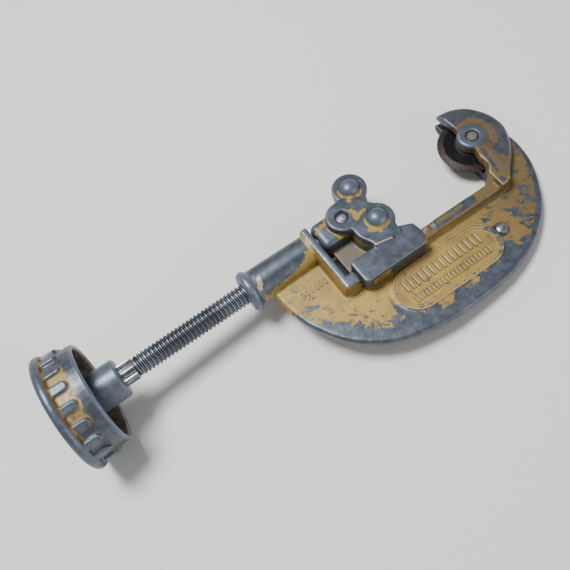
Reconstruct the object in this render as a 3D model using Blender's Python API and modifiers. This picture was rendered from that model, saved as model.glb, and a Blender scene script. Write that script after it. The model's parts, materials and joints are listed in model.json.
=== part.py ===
"""A small die-cast pipe cutter, lying on its back.

Everything is drawn in the tool's own straight frame, in millimetres: the feed screw runs along X, the roller
and wheel pins stand along Z, the jaw opens towards +Y, and the origin is the middle of the collar on the
screw's axis. One empty, lying_pose, then lays the whole tool on its knob and its back.
"""
import math

import bmesh
import bpy
from mathutils import Matrix, Vector

MM = 0.001
GAP = 0.3                      # between pieces that rest on one another

# feed screw: a 1/4 inch, 20 turns per inch thread
THREAD_PITCH = 1.27
THREAD_CREST = 3.1
THREAD_ROOT = 2.4
THREAD_START = -38.7
THREAD_END = 24.0
THREAD_STEPS = 16
SPLINE_RADIUS = 3.3
SPLINE_TEETH = 18
SPLINE_START = -57.0
TIP_RADIUS = 2.4
TIP_END = 35.0
TIP_GROOVE = (31.2, 34.0, 1.6)  # start, end, radius

# knob: a cup that opens towards the frame
KNOB_END = -61.6
KNOB_RIM = -49.6
KNOB_FLOOR = -59.3
KNOB_BEAD_RADIUS = 17.9
KNOB_SKIRT_RADIUS = 15.9
KNOB_RIM_RADIUS = 15.45
KNOB_WALL = 1.4
HUB_RADIUS = 5.87
HUB_END = -42.8
GRIPS = 18
GRIP_START = -58.8
GRIP_END = -53.6
GRIP_WIDTH = 2.8
GRIP_TURN = math.radians(2.4)
GRIP_HEIGHT = 1.0

# frame casting
COLLAR_RADIUS = 6.2
COLLAR_HALF = 1.55
BARREL_RADIUS = 5.05
BARREL_BORE = 3.4
WEB_TOP = 0.0
WEB_BOTTOM = -3.0
WALL = (20.8, 23.1)            # the end wall's outer and inner faces
WALL_FOOT = 20.4
WALL_HEIGHT = 5.3
WALL_REACH = 4.5
RAIL = (-18.2, -14.7)          # the rail's two sides, across the tool
RAIL_TOP = 2.9
RAIL_BOTTOM = -3.3
RAIL_END = 77.0
CORNER_END = 25.4
STRIP = (51.5, 65.0)
STRIP_TOP = 3.3
HOOD_TOP = 4.3
HOOD_ROUNDING = 2.9
BOSS_RADIUS = 4.25
BOSS_TOP = 5.1
WHEEL_CENTRE = (78.5, -0.6)
WHEEL_RADIUS = 9.4
WHEEL_SLOT = (9.8, 1.6)        # radius and half width of the slot that the wheel turns in
CARTOUCHE = (37.2, 58.2, -27.3)  # the two end centres along X, and Y
# the edge of the jaw's mouth on the hood, from the rail up to the hook's tip
MOUTH = ((73.8, -14.3), (73.9, -12.8), (75.7, -10.8), (75.5, -7.5), (76.4, -4.4), (77.0, 0.0), (77.0, 5.0),
         (76.4, 10.6))

# roller carriage
ROLLER_X = 39.9
ROLLER_Y = 6.35
ROLLER_RADIUS = 4.75
ROLLER_BORE = 1.7
ROLLER = (-3.6, 4.6)
EAR = (4.9, 6.6)
EAR_RADIUS = 5.1
EAR_NOTCH = (41.35, -0.35)     # where the two ears meet
DOME_RADIUS = 3.1
DOME_HEIGHT = 2.6
LOBE = (32.9, 4.9, 7.0)        # centre along X, radius, top
DOME_BASES = {1: 6.2, -1: 6.6}  # the upper dome and the lower dome, which stands on the lobe plate
PIN_X = 32.6
PIN_SHANK = 1.15
PIN_HEAD = (3.3, 1.65)         # underside and radius of the retaining pin's head
POCKET_RADIUS = 5.4
SOCKET_HALF = 4.6
SOCKET_ROUNDING = 2.0
SOCKET = (23.7, 36.8)
BLOCK = (25.8, 47.2, -20.3, -12.7)
BLOCK_TOP = 6.2
SADDLE_ROOF = 3.6
LIP_BOTTOM = 0.4
SLIDE_BOTTOM = -3.6
KEEPER = (-5.3, -3.9)
KEEPER_SCREWS = {"keeper_screw_front": (35.8, -12.1), "keeper_screw_back": (28.8, -9.8)}
PIN_RADIUS = 1.6

# reamer, folded under the web
REAMER_PIVOT = (66.5, -27.1)
REAMER_BLADE = (-4.9, -3.7)
REAMER_LENGTH = 33.0
RIVET_RADIUS = 1.05
RIVET_HEAD = 1.75

# how the tool lies: on the knob's bead, the boss under the wheel and the end of the reamer's rivet
LYING_ROLL = math.radians(2.1)
LYING_PITCH = math.radians(5.12)

ZINC = ((0.30, 0.33, 0.36), 0.45, 0.75)
GOLD = ((0.50, 0.38, 0.17), 0.5, 0.35)
STEEL = ((0.42, 0.42, 0.43), 0.3, 0.9)
DARK_STEEL = ((0.12, 0.10, 0.09), 0.5, 0.8)


def clear_scene():
    for thing in list(bpy.data.objects):
        bpy.data.objects.remove(thing)


def new_collection(name):
    collection = bpy.data.collections.new(name)
    bpy.context.scene.collection.children.link(collection)
    return collection


def material(name, look):
    colour, roughness, metallic = look
    made = bpy.data.materials.new(name)
    made.use_nodes = True
    shader = made.node_tree.nodes["Principled BSDF"]
    shader.inputs["Base Color"].default_value = (*colour, 1.0)
    shader.inputs["Roughness"].default_value = roughness
    shader.inputs["Metallic"].default_value = metallic
    return made


def piece(name, mesh):
    """A mesh object that waits among the cutters until cast() or finish() takes it as a part."""
    made = bpy.data.objects.new(name, mesh)
    CUTTERS.objects.link(made)
    made.hide_render = True
    made.display_type = "WIRE"
    return made


def from_bmesh(name, shape):
    mesh = bpy.data.meshes.new(name)
    shape.to_mesh(mesh)
    shape.free()
    return piece(name, mesh)


def round_edges(thing, width, segments=2, angle=35.0):
    """Bevel the edges sharper than the angle; the width is in millimetres."""
    bevel = thing.modifiers.new("rounding", "BEVEL")
    bevel.width = width * MM
    bevel.segments = segments
    bevel.limit_method = "ANGLE"
    bevel.angle_limit = math.radians(angle)
    bevel.use_clamp_overlap = True
    return thing


def box(name, low, high, rounding=0.0, segments=2):
    shape = bmesh.new()
    low = Vector(low) * MM
    high = Vector(high) * MM
    sizes = Matrix.Diagonal((*(high - low), 1.0))
    bmesh.ops.create_cube(shape, size=1.0, matrix=Matrix.Translation((low + high) / 2) @ sizes)
    made = from_bmesh(name, shape)
    if rounding:
        round_edges(made, rounding, segments)
    return made


def post(name, centre, radius, low, high, segments=32, rounding=0.0, top_radius=None):
    """A round post that stands along Z at a point of the XY plane.

    It is turned by half a segment, so that no edge of it lies in a plane of the axes.
    """
    shape = bmesh.new()
    middle = Vector((centre[0], centre[1], (low + high) / 2)) * MM
    top = radius if top_radius is None else top_radius
    place = Matrix.Translation(middle) @ Matrix.Rotation(math.pi / segments, 4, "Z")
    bmesh.ops.create_cone(shape, cap_ends=True, segments=segments, radius1=radius * MM,
                          radius2=top * MM, depth=(high - low) * MM, matrix=place)
    made = from_bmesh(name, shape)
    if rounding:
        round_edges(made, rounding)
    return made


def turned(name, profile, axis="X", steps=32):
    """A solid of revolution. The profile lists (place along the axis, radius) and may start and end on it.

    Like a post, it is turned by half a step.
    """
    shape = bmesh.new()
    across = math.cos(math.pi / steps) * MM
    aside = math.sin(math.pi / steps) * MM
    corners = [shape.verts.new((radius * across, radius * aside, place * MM)) for place, radius in profile]
    closed = profile[0][1] > 0.0
    ends = corners[1:] + corners[:1] if closed else corners[1:]
    for start, end in zip(corners, ends):
        shape.edges.new((start, end))
    made = from_bmesh(name, shape)
    screw = made.modifiers.new("turning", "SCREW")
    screw.steps = steps
    screw.render_steps = steps
    screw.use_merge_vertices = True
    screw.merge_threshold = 0.00001
    if axis == "X":
        made.rotation_euler = (0.0, math.radians(90.0), 0.0)
    return made


def arc(centre, radius, start, end, count):
    """Points along an arc, in degrees, from start to end."""
    angles = [math.radians(start + (end - start) * step / (count - 1)) for step in range(count)]
    return [(centre[0] + radius * math.cos(a), centre[1] + radius * math.sin(a)) for a in angles]


def stadium(left, right, middle, radius, count=10):
    return (arc((right, middle), radius, -90.0, 90.0, count)
            + arc((left, middle), radius, 90.0, 270.0, count))


def mesh_from_curve(name, curve, low, high):
    """Extrude a closed flat curve from low to high and turn it into a clean mesh."""
    curve.dimensions = "2D"
    curve.fill_mode = "BOTH"
    curve.extrude = (high - low) / 2 * MM
    drawn = bpy.data.objects.new(name, curve)
    drawn.location = (0.0, 0.0, (low + high) / 2 * MM)
    CUTTERS.objects.link(drawn)
    bpy.context.view_layer.update()
    evaluated = drawn.evaluated_get(bpy.context.evaluated_depsgraph_get())
    mesh = bpy.data.meshes.new_from_object(evaluated)
    place = drawn.matrix_world.copy()
    bpy.data.objects.remove(drawn)
    shape = bmesh.new()
    shape.from_mesh(mesh)
    bmesh.ops.remove_doubles(shape, verts=shape.verts, dist=0.000001)
    bmesh.ops.dissolve_limit(shape, angle_limit=math.radians(0.5), verts=[], edges=shape.edges)
    bmesh.ops.recalc_face_normals(shape, faces=shape.faces)
    shape.transform(place)
    return from_bmesh(name, shape)


def plate(name, outlines, low, high, rounding=0.0, segments=2):
    """A flat plate from one closed outline of straight runs and arcs, with any holes as more outlines."""
    curve = bpy.data.curves.new(name, "CURVE")
    for outline in outlines:
        spline = curve.splines.new("POLY")
        spline.points.add(len(outline) - 1)
        for point, (x, y) in zip(spline.points, outline):
            point.co = (x * MM, y * MM, 0.0, 1.0)
        spline.use_cyclic_u = True
    made = mesh_from_curve(name, curve, low, high)
    if rounding:
        round_edges(made, rounding, segments)
    return made


def smooth_plate(name, outline, low, high, rounding, segments=3, resolution=4):
    """A flat plate whose outline is (x, y, smooth): smooth points carry a curve, the others are corners."""
    curve = bpy.data.curves.new(name, "CURVE")
    curve.resolution_u = resolution
    spline = curve.splines.new("BEZIER")
    spline.bezier_points.add(len(outline) - 1)
    for point, (x, y, smooth) in zip(spline.bezier_points, outline):
        point.co = (x * MM, y * MM, 0.0)
        point.handle_left_type = "AUTO" if smooth else "VECTOR"
        point.handle_right_type = "AUTO" if smooth else "VECTOR"
    spline.use_cyclic_u = True
    return round_edges(mesh_from_curve(name, curve, low, high), rounding, segments, angle=40.0)


def combine(base, operation, others):
    """Join or cut with the others, which then move wherever the base moves."""
    bpy.context.view_layer.update()
    for other in others:
        other.parent = base
        other.matrix_parent_inverse = base.matrix_world.inverted()
        step = base.modifiers.new(operation.lower(), "BOOLEAN")
        step.operation = operation
        step.object = other
        step.solver = "EXACT"


def cast(name, solids, cuts=()):
    """One casting: the first solid, with the others joined to it and the cuts taken out."""
    base = solids[0]
    base.name = name
    combine(base, "UNION", solids[1:])
    combine(base, "DIFFERENCE", cuts)
    return base


def finish(thing, look, body, sharp=35.0):
    """Make a piece one of the parts: its material, its smooth shading and the empty that it moves with."""
    CUTTERS.objects.unlink(thing)
    PARTS.objects.link(thing)
    thing.hide_render = False
    thing.display_type = "TEXTURED"
    thing.data.materials.append(look)
    thing.data.shade_smooth()
    thing.data.set_sharp_from_angle(angle=math.radians(sharp))
    bpy.context.view_layer.update()
    place = thing.matrix_world.copy()
    thing.parent = body
    thing.matrix_parent_inverse = body.matrix_world.inverted()
    thing.matrix_world = place
    return thing


def empty(name, parent=None, place=(0.0, 0.0, 0.0)):
    made = bpy.data.objects.new(name, None)
    PARTS.objects.link(made)
    made.parent = parent
    made.location = Vector(place) * MM
    return made


# ---------------------------------------------------------------- frame

def web_outline():
    """The crescent from the barrel round the belly to the hook's tip, and back along the mouth."""
    belly = [(5.2, -9.0, True), (8.6, -21.2, True), (18.6, -33.2, True), (33.0, -38.7, True),
             (48.5, -39.6, True), (63.0, -37.9, True), (75.4, -32.1, True), (84.5, -22.2, True),
             (89.4, -9.7, True)]
    hook = [(88.9, -2.0, True), (86.4, 6.0, True), (82.0, 10.4, True), (76.9, 11.6, False)]
    inner = [(x + 0.2, y, False) for x, y in reversed(MOUTH)]
    return [(5.0, -3.0, False), (4.95, -5.6, False), *belly, *hook, *inner, (74.0, -15.5, False),
            (21.5, -15.5, False), (21.5, -3.0, False)]


def hood_outline():
    """The thick hood over the wheel, run on past the mouth's edge, where the mouth then cuts it off square."""
    outside = [(89.1, -1.6, True), (87.0, 6.6, True), (82.4, 11.1, True), (77.0, 12.5, True)]
    shoulder = [(87.6, -6.2, True), (85.0, -10.2, True), (81.4, -13.8, True), (78.0, -16.6, True)]
    return [*outside, (66.0, 12.5, False), (66.0, -17.1, False), *reversed(shoulder)]


def rib_outline():
    """The raised bar from the boss down to the corner where the hood meets the rail."""
    return [(71.0, -3.0), (79.9, -3.0), (79.7, -9.5), (79.1, -13.0), (78.3, -16.2), (77.0, -17.9),
            (75.2, -18.4), (71.0, -18.4)]


def hood():
    """The hood with its rib: rounded outside, and square where the jaw's mouth opens."""
    body = smooth_plate("hood", hood_outline(), -HOOD_TOP, HOOD_TOP, HOOD_ROUNDING, 5)
    rib = plate("rib", [rib_outline()], -HOOD_TOP - 0.5, HOOD_TOP + 0.5, 0.45)
    mouth = plate("mouth", [[(60.0, -19.6), (73.6, -19.6), *MOUTH, (76.3, 16.0), (60.0, 16.0)]], -9.0, 9.0)
    combine(body, "UNION", [rib])
    combine(body, "DIFFERENCE", [mouth])
    return body


def end_wall():
    """A wall across the tool, thicker at its foot than at its two edges."""
    low, high = WALL
    section = [(low, -WALL_HEIGHT), (high, -WALL_HEIGHT), (high, WALL_HEIGHT), (low, WALL_HEIGHT),
               (WALL_FOOT, 0.0)]
    wall = plate("end_wall", [[(-z, x) for x, z in section]], RAIL[0], WALL_REACH, 0.5)
    wall.data.transform(Matrix(((0, 1, 0, 0), (0, 0, 1, 0), (-1, 0, 0, 0), (0, 0, 0, 1))))
    return wall


def barrel():
    """The threaded barrel with its collar; the bore runs on through the end wall."""
    bead = [(COLLAR_HALF * math.sin(a), COLLAR_RADIUS - COLLAR_HALF * (1 - math.cos(a)))
            for a in (math.radians(angle) for angle in range(70, -71, -20))]
    wall_side = (WALL[0] + WALL[1]) / 2
    profile = [(wall_side, 0.0), (wall_side, BARREL_RADIUS - 0.1), (COLLAR_HALF + 0.3, BARREL_RADIUS + 0.2),
               *bead, (-COLLAR_HALF, 0.0)]
    return turned("barrel", profile)


def cartouche():
    """A double raised line in the shape of a stadium, on the web."""
    left, right, middle = CARTOUCHE
    rings = []
    for number, (outer, inner, height) in enumerate(((6.55, 6.1, 0.28), (5.6, 5.25, 0.2))):
        lines = [stadium(left, right, middle, outer), stadium(left, right, middle, inner)]
        rings.append(plate(f"cartouche_{number}", lines, -0.5, height))
    return rings


def frame(body, look):
    wall_bottom = -WALL_HEIGHT
    web = smooth_plate("web", web_outline(), WEB_BOTTOM, WEB_TOP, 0.9)
    rail = box("rail", (WALL[1] - 1.0, RAIL[0], RAIL_BOTTOM), (RAIL_END, RAIL[1], RAIL_TOP), 0.4)
    corner = box("rail_corner", (WALL[0], RAIL[0], wall_bottom), (CORNER_END, RAIL[1], WALL_HEIGHT), 0.5)
    strip = plate("wear_strip", [stadium(STRIP[0] + 1.3, STRIP[1] - 0.4, -16.1, 1.25, 7)],
                  0.5, STRIP_TOP, 0.15, 1)
    nub = post("nub", (49.6, -15.9), 0.9, 1.0, STRIP_TOP, 12, 0.2)
    boss = post("wheel_boss", WHEEL_CENTRE, BOSS_RADIUS, -BOSS_TOP, BOSS_TOP, 40, 0.5)
    slot = post("wheel_slot", WHEEL_CENTRE, WHEEL_SLOT[0], -WHEEL_SLOT[1], WHEEL_SLOT[1], 48)
    slot_mouth = box("slot_mouth", (60.0, -9.5, -WHEEL_SLOT[1]), (WHEEL_CENTRE[0], 20.0, WHEEL_SLOT[1]))
    pin_hole = post("wheel_pin_hole", WHEEL_CENTRE, PIN_RADIUS + 0.3, -20.0, 20.0)
    head_seat = post("screw_head_seat", WHEEL_CENTRE, 2.8, -20.0, -3.9)
    mouth = -COLLAR_HALF - 0.2
    bore = turned("barrel_bore", [(40.0, 0.0), (40.0, BARREL_BORE), (mouth + 0.8, BARREL_BORE),
                                  (mouth, BARREL_BORE + 0.8), (mouth, 0.0)])
    rivet_hole = post("rivet_hole", REAMER_PIVOT, RIVET_RADIUS + 0.15, -20.0, 20.0, 24)
    whole = cast("frame", [web, hood(), rail, corner, end_wall(), barrel(), strip, nub, boss, *cartouche()],
                 [slot, slot_mouth, pin_hole, head_seat, bore, rivet_hole])
    finish(whole, look, body)


# ---------------------------------------------------------------- carriage

def block_outline():
    """The block that saddles the rail, with its slanted front end."""
    left, right, low, high = BLOCK
    return (arc((left + 1.3, low + 1.3), 1.3, 180.0, 270.0, 4)
            + arc((right - 1.9, low + 1.5), 1.5, 270.0, 340.0, 3)
            + [(right + 0.1, -16.6), (46.8, -13.2), (42.6, -11.3), (40.4, high)]
            + arc((left + 0.6, high - 0.6), 0.6, 90.0, 180.0, 3))


def arm_outline():
    """The plan of the arm that joins the ears to the block."""
    return [(LOBE[0], -2.3), (32.3, -5.3), (32.3, -7.6), (32.8, -9.4), (33.9, -11.5), (34.3, -13.4),
            (42.6, -13.4), (42.6, -2.3)]


def carriage_outline():
    """The plan of the ears, the lobe and the arm."""
    x, y = ROLLER_X, ROLLER_Y
    return (arc((x, y), EAR_RADIUS, -60.0, 205.0, 24)
            + arc((LOBE[0], 0.0), LOBE[1] - 0.4, 125.0, 235.0, 8)
            + arm_outline()[1:-1]
            + arc((x, -y), EAR_RADIUS, -55.0, 60.0, 12)
            + [EAR_NOTCH])


def lobe_outline():
    """The plan of the raised plate: the lobe, the lower ear and the arm, but not the upper ear."""
    x, y = ROLLER_X, ROLLER_Y
    return (arc((x, -y), EAR_RADIUS - 0.05, -52.0, 62.0, 12)
            + [(41.2, -0.6), (39.7, 2.6), (38.5, 3.9), (36.9, 4.5)]
            + arc((LOBE[0], 0.0), LOBE[1], 78.0, 262.0, 18)
            + arm_outline()[1:-1])


def keeper_outline():
    """The part of the keeper that lies under the block, the recess and the gap beside the wall."""
    left, right, low, high = BLOCK
    beside_wall = WALL[1] + 0.9
    above_corner = RAIL[1] + 0.5
    return (arc((left + 1.5, low + 1.5), 1.2, 180.0, 270.0, 4)
            + arc((right - 1.7, low + 1.5), 1.2, 270.0, 360.0, 4)
            + [(right - 0.5, high - 0.4), (35.0, high - 0.5), (35.0, -5.2)]
            + arc((beside_wall + 1.2, -6.4), 1.2, 90.0, 180.0, 4)
            + [(beside_wall, above_corner), (left + 0.3, above_corner)])


def roller_pockets():
    return [post(f"pocket_{side}", (ROLLER_X, side * ROLLER_Y), POCKET_RADIUS, -20.0, EAR[0], 40)
            for side in (1, -1)]


def pin_seat():
    """The hole of the retaining pin, with its dished mouth in the top of the lobe."""
    top = LOBE[2]
    under, radius = PIN_HEAD
    seat = turned("pin_seat", [(top + 0.2, 0.0), (top + 0.2, 2.2), (top - 0.55, radius + 0.15),
                               (under - GAP, radius + 0.15), (under - GAP, PIN_SHANK + 0.15),
                               (0.0, PIN_SHANK + 0.15), (0.0, 0.0)], "Z", 24)
    seat.location = (PIN_X * MM, 0.0, 0.0)
    return seat


def slide(body, look):
    ears = plate("ears", [carriage_outline()], EAR[0] - 0.3, EAR[1], 0.3)
    raised = plate("lobe_plate", [lobe_outline()], EAR[0] + 0.2, LOBE[2], 0.5)
    domes = []
    for side, base in DOME_BASES.items():
        shape = bmesh.new()
        place = Matrix.Translation(Vector((ROLLER_X, side * ROLLER_Y, base)) * MM)
        flatten = Matrix.Diagonal((1.0, 1.0, DOME_HEIGHT / DOME_RADIUS, 1.0))
        bmesh.ops.create_uvsphere(shape, u_segments=24, v_segments=12, radius=DOME_RADIUS * MM,
                                  matrix=place @ flatten)
        domes.append(from_bmesh(f"dome_{side}", shape))
    lobe = post("lobe", (LOBE[0], 0.0), LOBE[1] - 0.1, 0.0, LOBE[2] - 0.7, 36)
    socket = box("socket", (SOCKET[0], -SOCKET_HALF, -SOCKET_HALF), (SOCKET[1], SOCKET_HALF, SOCKET_HALF),
                 SOCKET_ROUNDING, 5)
    below = SLIDE_BOTTOM - 1.0
    block = plate("block", [block_outline()], below, BLOCK_TOP, 0.5)
    arm = plate("arm", [arm_outline()], below, EAR[0] + 0.4)
    floor = box("recess_floor", (25.6, -13.3, -1.2), (36.0, -3.1, 0.35))
    screw_boss = post("screw_boss", KEEPER_SCREWS["keeper_screw_back"], 2.1, below, -1.0, 20)
    cuts = [
        *roller_pockets(),
        box("flat_bottom", (0.0, -40.0, -20.0), (60.0, 40.0, SLIDE_BOTTOM)),
        box("saddle_under", (0.0, -40.0, -20.0), (60.0, RAIL[1] + GAP, LIP_BOTTOM)),
        box("saddle_groove", (0.0, RAIL[0] - GAP, -1.0), (60.0, RAIL[1] + GAP, SADDLE_ROOF)),
        turned("tip_bore", [(TIP_END + GAP, 0.0), (TIP_END + GAP, TIP_RADIUS + 0.15),
                            (THREAD_END + 0.5, TIP_RADIUS + 0.15), (THREAD_END + 0.5, THREAD_CREST + 0.3),
                            (10.0, THREAD_CREST + 0.3), (10.0, 0.0)]),
        pin_seat(),
        *[post(f"roller_pin_bore_{side}", (ROLLER_X, side * ROLLER_Y), PIN_RADIUS + 0.1, 0.0, 7.2, 24)
          for side in (1, -1)],
        *[post(f"{name}_bore", place, 1.05, -10.0, -1.4, 20) for name, place in KEEPER_SCREWS.items()],
    ]
    finish(cast("slide", [ears, raised, *domes, lobe, socket, block, arm, floor, screw_boss], cuts), look, body)


def keeper(body, look):
    """The plate under the rollers and the rail, which holds the slide down."""
    base = plate("keeper_plan", [carriage_outline()], *KEEPER, 0.2, 1)
    under_block = plate("keeper_block", [keeper_outline()], *KEEPER, 0.2, 1)
    cuts = [post(f"keeper_pin_{side}", (ROLLER_X, side * ROLLER_Y), PIN_RADIUS + 0.1, -10.0, 0.0, 24)
            for side in (1, -1)]
    below = KEEPER[0] - 0.1
    for name, place in KEEPER_SCREWS.items():
        seat = turned(f"{name}_seat", [(0.0, 0.0), (0.0, 1.05), (below + 1.2, 1.05), (below, 2.3), (below, 0.0)],
                      "Z", 20)
        seat.location = Vector((*place, 0.0)) * MM
        cuts.append(seat)
    finish(cast("slide_keeper", [base, under_block], cuts), look, body)


def keeper_screw(name, place, body, look):
    head = KEEPER[0] + 0.15
    screw = turned(f"{name}_blank", [(-1.6, 0.0), (-1.6, 0.9), (head + 0.85, 0.9), (head, 2.0), (head, 0.0)],
                   "Z", 20)
    slot = box(f"{name}_slot", (-3.0, -0.25, head - 0.5), (3.0, 0.25, head + 0.35))
    whole = cast(name, [screw], [slot])
    screw.location = Vector((*place, 0.0)) * MM
    finish(whole, look, body)


def rollers(body, carriage, steel):
    for name, side in (("upper", 1), ("lower", -1)):
        spin = empty(f"roller_{name}_axis", carriage, (ROLLER_X, side * ROLLER_Y, 0.0))
        low, high = ROLLER
        profile = [(high, ROLLER_BORE), (high, ROLLER_RADIUS - 0.4), (high - 0.4, ROLLER_RADIUS),
                   (low + 0.4, ROLLER_RADIUS), (low, ROLLER_RADIUS - 0.4), (low, ROLLER_BORE)]
        roller = turned(f"roller_{name}", profile, "Z", 40)
        roller.location = Vector((ROLLER_X, side * ROLLER_Y, 0.0)) * MM
        finish(roller, steel, spin)
        pin = post(f"roller_pin_{name}", (0.0, 0.0), PIN_RADIUS, KEEPER[0] - 0.1, 7.0, 24, 0.25)
        pin.location = Vector((ROLLER_X, side * ROLLER_Y, 0.0)) * MM
        finish(pin, steel, carriage)


def retaining_pin(carriage, steel):
    """The pin that drops through the lobe into the groove of the screw's tip."""
    under, radius = PIN_HEAD
    top = LOBE[2]
    low = TIP_GROOVE[2] + 0.2
    profile = [(top - 0.4, 0.0), (top - 0.5, 1.0), (top - 0.85, radius), (under, radius), (under, PIN_SHANK),
               (low, PIN_SHANK), (low, 0.0)]
    pin = turned("screw_retaining_pin", profile, "Z", 24)
    pin.location = (PIN_X * MM, 0.0, 0.0)
    finish(pin, steel, carriage)


# ---------------------------------------------------------------- feed screw and knob

def thread():
    """One V groove wound along the screw, cut square at both ends."""
    shape = bmesh.new()
    half = THREAD_PITCH / 2
    profile = [(THREAD_ROOT, THREAD_PITCH), (THREAD_CREST, half), (THREAD_ROOT, 0.0)]
    corners = [shape.verts.new((radius * MM, 0.0, place * MM)) for radius, place in profile]
    for start, end in zip(corners, corners[1:]):
        shape.edges.new((start, end))
    turns = math.ceil((THREAD_END - THREAD_START) / THREAD_PITCH) + 3
    wound = from_bmesh("wound_thread", shape)
    wind = wound.modifiers.new("winding", "SCREW")
    wind.screw_offset = THREAD_PITCH * MM
    wind.iterations = turns
    wind.steps = THREAD_STEPS
    wind.render_steps = THREAD_STEPS
    bpy.context.view_layer.update()
    evaluated = wound.evaluated_get(bpy.context.evaluated_depsgraph_get())
    mesh = bpy.data.meshes.new_from_object(evaluated)
    bpy.data.objects.remove(wound)
    shape = bmesh.new()
    shape.from_mesh(mesh)
    bmesh.ops.remove_doubles(shape, verts=shape.verts, dist=0.00001)
    bmesh.ops.holes_fill(shape, edges=shape.edges)
    bmesh.ops.triangulate(shape, faces=[face for face in shape.faces if len(face.verts) > 4])
    bmesh.ops.recalc_face_normals(shape, faces=shape.faces)
    made = from_bmesh("thread", shape)
    made.rotation_euler = (0.0, math.radians(90.0), 0.0)
    made.location = ((THREAD_START - 2 * THREAD_PITCH) * MM, 0.0, 0.0)
    ends = [box("thread_start", (-80.0, -9.0, -9.0), (THREAD_START - 0.4, 9.0, 9.0)),
            box("thread_end", (THREAD_END, -9.0, -9.0), (80.0, 9.0, 9.0))]
    return made, ends


def spline_blank():
    """The knurled length that is pressed into the knob."""
    outline = []
    for tooth in range(SPLINE_TEETH):
        for part, radius in ((-0.2, SPLINE_RADIUS), (0.2, SPLINE_RADIUS), (0.5, SPLINE_RADIUS - 0.28)):
            angle = 2 * math.pi * (tooth + part) / SPLINE_TEETH
            outline.append((radius * math.cos(angle), radius * math.sin(angle)))
    blank = plate("spline", [outline], SPLINE_START, THREAD_START)
    blank.rotation_euler = (0.0, math.radians(90.0), 0.0)
    return blank


def feed_screw(spindle, steel):
    wound, ends = thread()
    start, end, groove = TIP_GROOVE
    core = THREAD_ROOT - 0.15
    tip = [(TIP_END, 0.0), (TIP_END, TIP_RADIUS - 0.4), (TIP_END - 0.4, TIP_RADIUS), (end, TIP_RADIUS),
           (end, groove), (start, groove), (start, TIP_RADIUS), (THREAD_END - 1.0, TIP_RADIUS),
           (THREAD_END - 1.0, core), (THREAD_START - 2.0, core), (THREAD_START - 2.0, 0.0)]
    combine(wound, "DIFFERENCE", ends)
    finish(cast("feed_screw", [wound, spline_blank(), turned("tip", tip, steps=24)]), steel, spindle)


def knob(spindle, look):
    bead_tube = 1.55
    bead_place = KNOB_END + bead_tube
    bead_centre = KNOB_BEAD_RADIUS - bead_tube
    bead = [(bead_place + bead_tube * math.sin(math.radians(a)), bead_centre + bead_tube * math.cos(math.radians(a)))
            for a in range(60, -91, -25)]
    inside = KNOB_RIM_RADIUS - KNOB_WALL
    profile = [(-58.0, 0.0), (-58.0, SPLINE_RADIUS + 0.1), (HUB_END, SPLINE_RADIUS + 0.1),
               (HUB_END, HUB_RADIUS - 0.6), (HUB_END - 0.6, HUB_RADIUS), (KNOB_FLOOR + 0.6, HUB_RADIUS + 0.1),
               (KNOB_FLOOR, HUB_RADIUS + 0.8), (KNOB_FLOOR, inside - 1.0), (KNOB_FLOOR + 0.8, inside - 0.1),
               (KNOB_RIM - 0.5, inside), (KNOB_RIM, inside + 0.45), (KNOB_RIM, KNOB_RIM_RADIUS - 0.5),
               (KNOB_RIM - 0.5, KNOB_RIM_RADIUS), (KNOB_END + 3.2, KNOB_SKIRT_RADIUS), *bead,
               (KNOB_END + 0.8, bead_centre - 1.6), (KNOB_END + 0.8, 0.0)]
    cup = turned("cup", profile, steps=54)
    pills = []
    for number in range(GRIPS):
        half = GRIP_WIDTH / 2
        outline = stadium(GRIP_START, GRIP_END - half, 0.0, half, 6)
        pill = plate(f"grip_{number}", [outline], KNOB_RIM_RADIUS - 0.9, KNOB_SKIRT_RADIUS + GRIP_HEIGHT - 0.1, 0.3, 1)
        pill.data.transform(Matrix.Rotation(2 * math.pi * number / GRIPS + GRIP_TURN, 4, "X"))
        pills.append(pill)
    finish(cast("knob", [cup, *pills]), look, spindle)


# ---------------------------------------------------------------- wheel and reamer

def cutter_wheel(wheel_axis, dark):
    half = 1.3
    profile = [(half, PIN_RADIUS + 0.1), (half, 3.6), (0.95, 4.3), (0.85, WHEEL_RADIUS - 1.7), (0.12, WHEEL_RADIUS),
               (-0.12, WHEEL_RADIUS), (-0.85, WHEEL_RADIUS - 1.7), (-0.95, 4.3), (-half, 3.6),
               (-half, PIN_RADIUS + 0.1)]
    wheel = turned("cutter_wheel", profile, "Z", 64)
    wheel.location = Vector((*WHEEL_CENTRE, 0.0)) * MM
    finish(wheel, dark, wheel_axis)


def wheel_screw(body, steel):
    profile = [(BOSS_TOP - 0.1, 0.0), (BOSS_TOP - 0.1, PIN_RADIUS - 0.25), (BOSS_TOP - 0.35, PIN_RADIUS),
               (-4.0, PIN_RADIUS), (-4.1, 2.5), (-BOSS_TOP, 2.5), (-BOSS_TOP, 0.0)]
    screw = turned("wheel_screw_blank", profile, "Z", 32)
    slot = box("wheel_screw_slot", (-4.0, -0.35, -6.0), (4.0, 0.35, -4.6))
    whole = cast("wheel_screw", [screw], [slot])
    screw.location = Vector((*WHEEL_CENTRE, 0.0)) * MM
    finish(whole, steel, body)


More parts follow.
